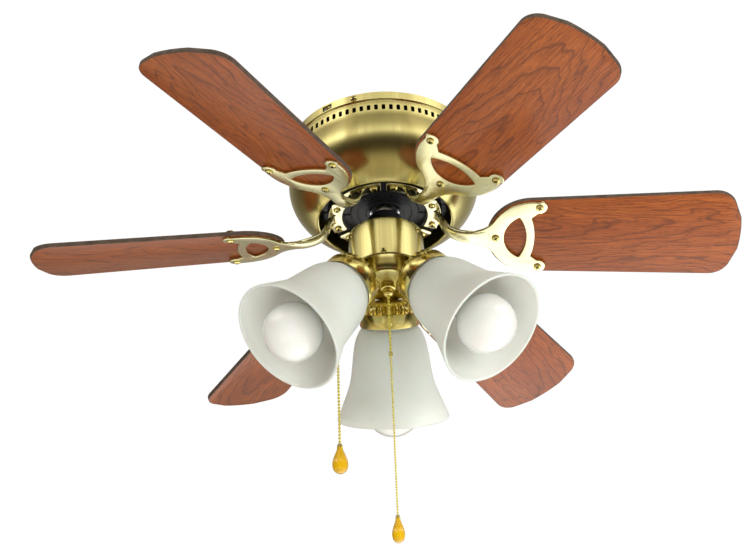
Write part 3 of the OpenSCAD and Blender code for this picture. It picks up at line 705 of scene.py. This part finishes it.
def make_screws():
    screws("blade_screw_heads", cross_screw(4.2, 2.4),
           [blade_place(i) @ shift(x, y, -IRON_T + 0.05) for i in range(1, 7)
            for x, y in (HORN, (HORN[0], -HORN[1]), (NECK_SCREW_X, 0))],
           "rotor", "blade_screws")
    screws("iron_screw_heads", cross_screw(4, 2.4),
           [turn(60 * i + a) @ shift(54, 0, -92.95) for i in range(6) for a in (-18.5, 18.5)],
           "rotor", "iron_screws")
    screws("collar_screw_heads", cross_screw(3.6, 2),
           [facing_out(254 + 90 * i, 101.9, -6) for i in range(4)], "root", "housing_screws")
    screws("switch_screw_heads", cross_screw(3, 1.8),
           [facing_out(266 + 120 * i, 40.4, -164) for i in range(3)]
           + [facing_out(326 + 120 * i, 40.4, -127) for i in range(3)], "root",
           "switch_housing_screws")


# ---------- Housing ----------


def make_housing():
    """Spun bowl with its collar, groove and band of vent slots."""
    low = -99 + 52
    end_a = acos((73 - 45) / (104 - 45))
    drop = -low / sin(end_a)
    side = [(101.2, -0.5), (102, -1.1), (102, -2.8), (102, -9.2), (102, -10.2), (101.6, -11),
            (100.5, -11.8), (100.4, -12.9), (100.9, -13.5), (101, -14.2), (101, -18), (101, -24),
            (101, -28)]
    side += [(101 + 3 * sin(radians(15 * i)), -28 - 4 * i) for i in range(1, 6)]
    bowl = [(45 + 59 * cos(end_a * i / 24), -52 - drop * sin(end_a * i / 24)) for i in range(25)]
    side += bowl[:-1] + [(73.35, -98.5), (72.8, -99), (72, -98.7), (71.6, -97.6)]
    bm = turned(side, 480)
    bmesh.ops.transform(bm, matrix=turn(0.125), verts=bm.verts)
    gone = []
    for f in bm.faces:
        c = f.calc_center_median()
        angle = (degrees(atan2(c.y, c.x)) - 0.125) % 360
        if -24 < c.z < -18 and 0.75 < angle % 4.5 < 3.0:
            gone.append(f)
        if -9.2 < c.z < -2.8 and 232.5 < angle < 239.4:
            gone.append(f)
    bmesh.ops.delete(bm, geom=gone, context="FACES")
    for v in bm.verts:
        if abs(v.co.z + 18) < 0.01 or abs(v.co.z + 24) < 0.01:
            away = 1 if v.co.z > -21 else -1
            if len(v.link_faces) == 2:
                v.co.z += 0.5 * away
    piece = finish_piece(bm, "motor_housing", "root", "brushed_brass",
                         ["housing"], 24)
    wall = piece.modifiers.new("wall", "SOLIDIFY")
    wall.thickness, wall.offset = 1.2 * MM, -1
    bm = cross_screw(3.3, 2)
    place = facing_out(236, 99.9, -6)
    bmesh.ops.transform(bm, matrix=place, verts=bm.verts)
    finish_piece(bm, "keyhole_screw", "root", "bright_brass", materials=SCREW_FINISH)


def make_switch_housing():
    rows = [(-121, 39.9), (-121.6, 40.4), (-122.5, 40.5), (-124.5, 40.5), (-138, 40.5), (-150, 40.5),
            (-166, 40.5), (-167.3, 40.5), (-168, 40.1)]
    bm = turned([(r, z) for z, r in rows], 240)
    gone = []
    for f in bm.faces:
        c = f.calc_center_median()
        angle = degrees(atan2(c.y, c.x)) % 360
        if -150 < c.z < -138 and abs(angle - 30) < 4:
            gone.append(f)
    bmesh.ops.delete(bm, geom=gone, context="FACES")
    piece = finish_piece(bm, "switch_can", "root", "brushed_brass",
                         ["switch_housing"])
    wall = piece.modifiers.new("wall", "SOLIDIFY")
    wall.thickness, wall.offset = 1.0 * MM, -1


def make_light_pan():
    """Pan under the switch housing, its round lock nut and the guide of the light's chain."""
    cove = arc((42.5, -180.5), 12, 100, 178, 16)
    side = [(38.6, -166), (39.2, -168.1), (40.4, -168.1), (40.5, -168.5)] + cove
    side += curve([(30, -181), (29.2, -181.7), (24, -182.3), (15, -182.6), (3.6, -182.6)], 6)
    bm = turned(side + [(3.5, -181.4), (15, -181.4), (24, -181.1), (28.4, -180.2), (29.3, -176),
                        (36, -168), (38, -166)], 160, closed=True)
    finish_piece(bm, "light_kit_pan", "root", "brushed_brass", ["light_pan"])
    bm = turned([(3.4, -182.4), (7.6, -182.4), (8.2, -182.8), (8.4, -183.6), (8.4, -186.6),
                 (7.9, -187.5), (6.8, -188), (3.4, -188)], 48, closed=True)
    finish_piece(bm, "pan_nut", "root", "bright_brass", ["light_pan_nut"])
    guide = curve([(3.5, -188.6), (3.9, -189.8), (5.2, -190.9), (5.4, -192), (5.2, -193.1),
                   (3.8, -194.5), (2.6, -195)], 4)
    bm = turned([(2, -179), (3.4, -179), (3.4, -188)] + guide
                + [(2.2, -194.7), (2, -194)], 40, closed=True)
    finish_piece(bm, "light_chain_guide", "root", "bright_brass",
                 ["light_chain_bushing"])


def make_fan_guide():
    """Bell-mouthed guide of the fan's chain, on the side of the switch housing."""
    side = [(2, 34), (3.5, 34), (3.5, 40.5), (5.5, 40.5), (5.5, 42.6), (4.6, 43.4), (3.5, 44),
            (3.2, 46), (3.3, 48.5), (3.8, 50.6), (4.4, 51.6), (4, 52), (3.2, 51.4), (2.4, 49.5), (2, 47)]
    bm = turned(side, 40, closed=True)
    place = turn(150) @ shift(0, 0, -149) @ turn(90, "Y")
    bmesh.ops.transform(bm, matrix=place, verts=bm.verts)
    finish_piece(bm, "fan_chain_guide", "root", "bright_brass",
                 ["fan_chain_bushing"])


def make_slider():
    bm = bmesh.new()
    block(bm, (35.4, -2, -149), (44, 2, -145))
    bmesh.ops.bevel(bm, geom=bm.edges, offset=0.6, segments=3, profile=0.5, affect="EDGES", material=-1)
    bmesh.ops.transform(bm, matrix=turn(30), verts=bm.verts)
    finish_piece(bm, "reverse_knob", "reverse_slider", "black_plastic",
                 ["reverse_slider"])


# ---------- Motor underside ----------


def make_motor_underside():
    """Lower cover of the motor shell, with pressed ribs and rim notches."""
    side = [(66, -62), (69, -62), (69, -64), (68.6, -65), (69, -66), (69, -83.5), (68.4, -84.6),
            (67.2, -85), (62.5, -85), (62, -85.6), (62, -89.5), (61.5, -90), (45.5, -90), (45, -89.5),
            (45, -86.4), (44.4, -86), (37.6, -86), (37, -86.5), (37, -87.6), (36.4, -88), (30, -88),
            (29, -87.2),
            (21, -87.2), (20, -88), (16.4, -88), (16, -87.5), (16, -81), (40, -81), (42, -84), (58, -84),
            (62, -81), (66, -81)]
    bm = turned(side, 144, closed=True)
    for v in bm.verts:
        r, angle = hypot(v.co.x, v.co.y), degrees(atan2(v.co.y, v.co.x))
        if 62.4 < r < 69.1 and v.co.z < -83 and (angle + 7) % 30 < 7.6:
            v.co.z += 1.6
        if 37.2 < r < 44.8 and -86.5 < v.co.z < -85.9 and (angle + 4) % 45 < 10.1:
            v.co.z += 1.2
    finish_piece(bm, "motor_lower_cover", "rotor", "black_paint",
                 ["rotor_lower_cover"], 30)


# ---------- Blades ----------


def blade_outline():
    """Half of a blade's outline, from the middle of its root to the middle of its tip."""
    edge_a = degrees(atan2(TIP_HALF - ROOT_HALF, 200))
    corner, bow = 23, 10
    bow_r = (bow * bow + TIP_HALF * TIP_HALF) / (2 * bow)
    side = arc((ROOT_X, 0), ROOT_HALF, 180, 90 + edge_a, 30)
    far = arc((TIP_R - bow - corner + 3, TIP_HALF - corner), corner, 90 + edge_a, 18, 12)
    straight = [tuple(Vector(side[-1]).lerp(Vector(far[0]), k / 10)) for k in range(1, 10)]
    tip = [(TIP_R - bow_r + sqrt(bow_r**2 - y**2), y) for y in (21, 14, 7, 0)]
    return side + straight + far + tip


def make_blades():
    half = blade_outline()
    outline = half + [(x, -y) for x, y in reversed(half[1:-1])]
    for i in range(1, BLADES + 1):
        bm = bmesh.new()
        slab(bm, outline, 0, BLADE_T)
        for f in bm.faces:
            f.material_index = 0 if abs(f.normal.z) > 0.5 else 1
        rim = [e for e in bm.edges if len({f.material_index for f in e.link_faces}) == 2]
        bmesh.ops.bevel(bm, geom=rim, offset=0.7, segments=2, profile=0.5, affect="EDGES", material=1)
        layer = bm.verts.layers.float_vector.new("plank")
        flip = -1 if i % 2 else 1
        for v in bm.verts:
            x, y, z = v.co
            v[layer] = Vector((x - 130 + 23 * i, flip * y + (9 * i) % 31 - 15, z + 170 * i)) * MM
        bmesh.ops.transform(bm, matrix=blade_place(i), verts=bm.verts)
        finish_piece(bm, f"wood_blade_{i}", "rotor", "cherry_wood", [f"blade_{i}"],
                     materials=[FINISH["cherry_wood"], FINISH["wood_edge"]])


# ---------- Blade irons ----------

ARM = [(51, 32.3, 9, 1.6, 0), (56, 30.8, 9, 3.4, 0), (60.5, 24, 8.5, 5, 0), (64, 15, 8, 6, 0.05),
       (69.5, 8, 7.5, 6.5, 0.15), (78, 3.2, 7.5, 6.5, 0.35), (88, 0.2, 8, 6, 0.6),
       (98, -1.2, 9, 4.5, 0.9), (110, -2, 13, 2.9, 1)]


def iron_plate_lines():
    """Outline of an iron's plate and of its window, flat."""
    half = arc((73, 0), 87, 0, 17, 10) + arc((HORN[0], HORN[1]), 8.3, -98, 68, 16)
    half += arc((ROOT_X, 0), 46, 82, 150, 22) + arc((91.2, 38), 30, -30, -64, 10)[1:] + [(97, 8.5)]
    outline = half + [(x, -y) for x, y in reversed(half) if y > 0.01]
    left = arc((ROOT_X, 0), 30, 180, 122, 14)
    right = arc((100, 0), 51, 27.5, 0, 10)
    corner = rounded([left[-1], (143.4, 26.75), right[0]], [0, 3, 0])[1:-1]
    half = left + [tuple(p) for p in corner] + right
    window = half + [(x, -y) for x, y in reversed(half[1:-1])]
    return outline, window


def flat_plate(loops, thickness, edge):
    """A flat plate with rounded edges from closed outlines, the later ones holes."""
    data = bpy.data.curves.new("plate", "CURVE")
    data.dimensions, data.fill_mode = "2D", "BOTH"
    for loop in loops:
        spline = data.splines.new("POLY")
        spline.points.add(len(loop) - 1)
        for point, (x, y) in zip(spline.points, loop):
            point.co = (x, y, 0, 1)
        spline.use_cyclic_u = True
    data.extrude, data.bevel_depth, data.bevel_resolution = thickness / 2 - edge, edge, 3
    data.offset = -edge
    shape = bpy.data.objects.new("plate", data)
    bpy.context.scene.collection.objects.link(shape)
    mesh = bpy.data.meshes.new_from_object(shape.evaluated_get(bpy.context.evaluated_depsgraph_get()))
    bm = bmesh.new()
    bm.from_mesh(mesh)
    bpy.data.objects.remove(shape)
    bpy.data.meshes.remove(mesh)
    bmesh.ops.remove_doubles(bm, verts=bm.verts, dist=0.003)
    bmesh.ops.recalc_face_normals(bm, faces=bm.faces)
    return bm


def arm_section(w, h):
    """Cross-section of the arm: flat back, and a raised rib between two coves on its face."""
    return [(-w, -h * 0.35), (-w, h * 0.25), (-w * 0.85, h * 0.8), (-w * 0.6, h), (w * 0.6, h),
            (w * 0.85, h * 0.8), (w, h * 0.25), (w, -h * 0.35), (w * 0.88, -h * 0.85),
            (w * 0.7, -h * 0.9), (w * 0.52, -h * 0.6), (w * 0.36, -h * 0.75), (w * 0.2, -h * 1.25),
            (0, -h * 1.35), (-w * 0.2, -h * 1.25), (-w * 0.36, -h * 0.75), (-w * 0.52, -h * 0.6),
            (-w * 0.7, -h * 0.9), (-w * 0.88, -h * 0.85)]


def skin_rings(bm, rings):
    """A closed skin over rings of points."""
    loops, ends = [], []
    for ring in rings:
        verts = [bm.verts.new(p) for p in ring]
        loops.append([bm.edges.new((a, b)) for a, b in zip(verts, verts[1:] + verts[:1])])
        ends.append(verts)
    for a, b in zip(loops, loops[1:]):
        bmesh.ops.bridge_loops(bm, edges=a + b)
    bm.faces.new(ends[0])
    bm.faces.new(ends[-1])


def iron_arm():
    stations = smooth_stations(ARM, 5)
    path = [Vector((s[0], 0, BLADE_Z + s[1])) for s in stations]
    rings = []
    for k, s in enumerate(stations):
        ahead = (path[min(k + 1, len(path) - 1)] - path[max(k - 1, 0)]).normalized()
        side = (Y - ahead * Y.dot(ahead)).normalized()
        up = ahead.cross(side)
        a = radians(-PITCH * s[4])
        across, over = side * cos(a) + up * sin(a), up * cos(a) - side * sin(a)
        rings.append([path[k] + across * q[0] - over * q[1] for q in arm_section(s[2], s[3] / 2)])
    bm = bmesh.new()
    skin_rings(bm, rings)
    return bm


def smooth_stations(rows, steps):
    """Spline through rows of numbers of any width."""
    rows = [tuple(r) for r in rows]
    rows = [tuple(2 * a - b for a, b in zip(rows[0], rows[1])), *rows,
            tuple(2 * a - b for a, b in zip(rows[-1], rows[-2]))]
    out = []
    for p0, p1, p2, p3 in zip(rows, rows[1:], rows[2:], rows[3:]):
        for k in range(steps):
            t = k / steps
            out.append(tuple(0.5 * (2 * b + (c - a) * t + (2 * a - 5 * b + 4 * c - d) * t**2
                                    + (3 * b - a - 3 * c + d) * t**3)
                             for a, b, c, d in zip(p0, p1, p2, p3)))
    return out + [rows[-2]]


def iron_foot():
    """Curved foot that is screwed under the motor."""
    outer, inner = arc((0, 0), 61.5, -27, 27, 20), arc((0, 0), 46.5, 27, -27, 20)
    corners = outer + inner
    bm = bmesh.new()
    slab(bm, corners, -93, IRON_T)
    upright = [e for e in bm.edges if abs((e.verts[0].co - e.verts[1].co).z) > 1
               and e.calc_face_angle() > 1]
    bmesh.ops.bevel(bm, geom=upright, offset=3, segments=4, profile=0.5, affect="EDGES", material=-1)
    flat = [e for e in bm.edges if e.calc_face_angle() > 1.2]
    bmesh.ops.bevel(bm, geom=flat, offset=0.8, segments=3, profile=0.5, affect="EDGES", material=-1)
    return bm


def make_irons():
    outline, window = iron_plate_lines()
    plate = flat_plate([outline, window], IRON_T, 0.9)
    arm, foot = iron_arm(), iron_foot()
    for i in range(1, BLADES + 1):
        bm = bmesh.new()
        copy_into(bm, plate, blade_place(i) @ shift(0, 0, -IRON_T / 2))
        copy_into(bm, arm, turn(60 * (i - 1)))
        copy_into(bm, foot, turn(60 * (i - 1)))
        finish_piece(bm, f"cast_iron_{i}", "rotor", "cast_brass",
                     [f"blade_iron_{i}"], 34)
    for spare in (plate, arm, foot):
        spare.free()


# ---------- Lights ----------


BAND_S, BAND_E, DOME_E, SCREW_S, SCREW_A = 102, 117, 131, 109.5, 60


def cup_profile():
    rise = DOME_E - BAND_E
    dome = [(13 + 18.6 * cos(radians(a)), BAND_E + 0.6 + (rise - 0.6) * sin(radians(a)))
            for a in range(0, 91, 6)]
    band = [(31.2, BAND_S + 0.2), (31.7, BAND_S), (32, BAND_S + 0.5), (32, BAND_E - 0.3),
            (31.8, BAND_E + 0.2)]
    neck = [(10, DOME_E), (9.2, DOME_E + 0.6), (9, DOME_E + 1.4), (9, 137.4), (8.6, 138), (5, 138)]
    return band + dome + neck


def make_cups():
    """Socket cups: a smooth band, a fluted dome and a threaded neck."""
    flutes = 24
    for i in (1, 2, 3):
        bm = turned(cup_profile(), flutes * 8)
        for v in bm.verts:
            r, angle = hypot(v.co.x, v.co.y), atan2(v.co.y, v.co.x)
            if BAND_E + 0.8 < v.co.z < DOME_E + 0.3 and r > 13.5:
                fade = min(1, (v.co.z - BAND_E - 0.6) / 2) * min(1, (r - 13) / 8)
                dip = 0.085 * r * fade * (1 - abs(cos(flutes / 2 * angle)))
                v.co.x *= 1 - dip / r
                v.co.y *= 1 - dip / r
        bmesh.ops.transform(bm, matrix=shade_place(i), verts=bm.verts)
        piece = finish_piece(bm, f"fluted_cup_{i}", "root", "bright_brass",
                             [f"socket_cup_{i}"], 50)
        wall = piece.modifiers.new("wall", "SOLIDIFY")
        wall.thickness, wall.offset = 1.1 * MM, -1
    head = cross_screw(3.2, 1.9)
    collar = turned([(0, 2.4), (2.4, 2.4), (3, 2), (3.3, 1.2), (3.3, -0.1), (0, -0.1)], 24)
    post = turned([(0, 0), (1.6, 0), (1.6, 7), (0, 7)], 12)
    bm = bmesh.new()
    for i in (1, 2, 3):
        for k in (0, 1, 2):
            place = shade_place(i) @ turn(SCREW_A + 120 * k) @ shift(35.8, 0, SCREW_S) @ turn(-90, "Y")
            for part in (head, collar, post):
                copy_into(bm, part, place)
    for part in (head, collar, post):
        part.free()
    finish_piece(bm, "shade_screws", "root", "bright_brass",
                 ["shade_thumbscrews"], 30)


BELL = [(0, 0, 0), (6, 1.9, 0), (11, 4.1, 0), (17, 6.5, 0), (28, 11, 0), (39, 14.9, 0), (50, 17.2, 0),
        (72, 20.3, 0), (83, 22.3, 0), (90, 24.5, 0.1), (95.5, 27, 0.3), (99, 29.4, 0.6),
        (101, 31.6, 0.5), (103.5, 32.4, 0.1), (115, 32.5, 0)]


def make_shades():
    outer = curve([(RIM_R - d, s) for s, d, k in BELL], 5)
    inner = curve([(RIM_R - d - GLASS_T * (1 - k), s - GLASS_T * k)
                                        for s, d, k in BELL], 5)
    middle = (outer[0][0] + inner[0][0]) / 2
    lip = [(middle + GLASS_T / 2 * cos(radians(a)), 1 - sin(radians(a))) for a in range(180, -1, -20)]
    profile = lip + [p for p in outer if p[1] > 1.3] + [p for p in reversed(inner) if p[1] > 1.3]
    for i in (1, 2, 3):
        bm = turned(profile, 144, closed=True)
        bmesh.ops.transform(bm, matrix=shade_place(i), verts=bm.verts)
        finish_piece(bm, f"bell_shade_{i}", "root", "frosted_glass",
                     [f"glass_shade_{i}"])


def make_bulbs():
    globe = [(30.8 * cos(radians(a)), 10.5 + 30.8 * sin(radians(a))) for a in range(-84, 60, 6)]
    neck = curve([(15.4, 37.2), (13.8, 40.5), (13.2, 45.5), (13.2, 54)], 4)
    side = [(0, -20.3)] + globe + neck
    side += [(13.2, 95), (8, 98), (0, 98)]
    for i in (1, 2, 3):
        bm = turned(side, 64)
        bmesh.ops.transform(bm, matrix=shade_place(i), verts=bm.verts)
        finish_piece(bm, f"globe_bulb_{i}", "root", "bulb_white", [f"bulb_{i}"])


make_camera()
make_studio()
make_chains()
make_screws()
make_housing()
make_switch_housing()
make_light_pan()
make_fan_guide()
make_slider()
make_motor_underside()
make_blades()
make_irons()
make_cups()
make_shades()
make_bulbs()

refinish("ceiling_steel", "mounting_plate", "motor_hanger", "hanger_screws")
refinish("bearing_steel", "motor_shaft", "upper_bearing", "lower_bearing")
refinish("core_steel", "stator_core")
refinish("copper_winding", "stator_windings")
refinish("cage_aluminium", "rotor_cage")
refinish("black_paint", "rotor_upper_cover", "switch_mount_plate")
refinish("rubber", "hanger_grommets")
refinish("black_plastic", "run_capacitor", "fan_pull_switch", "light_pull_switch", "reverse_switch")
refinish("porcelain", "lamp_holder_1", "lamp_holder_2", "lamp_holder_3")
refinish("bright_brass", "blade_nuts")
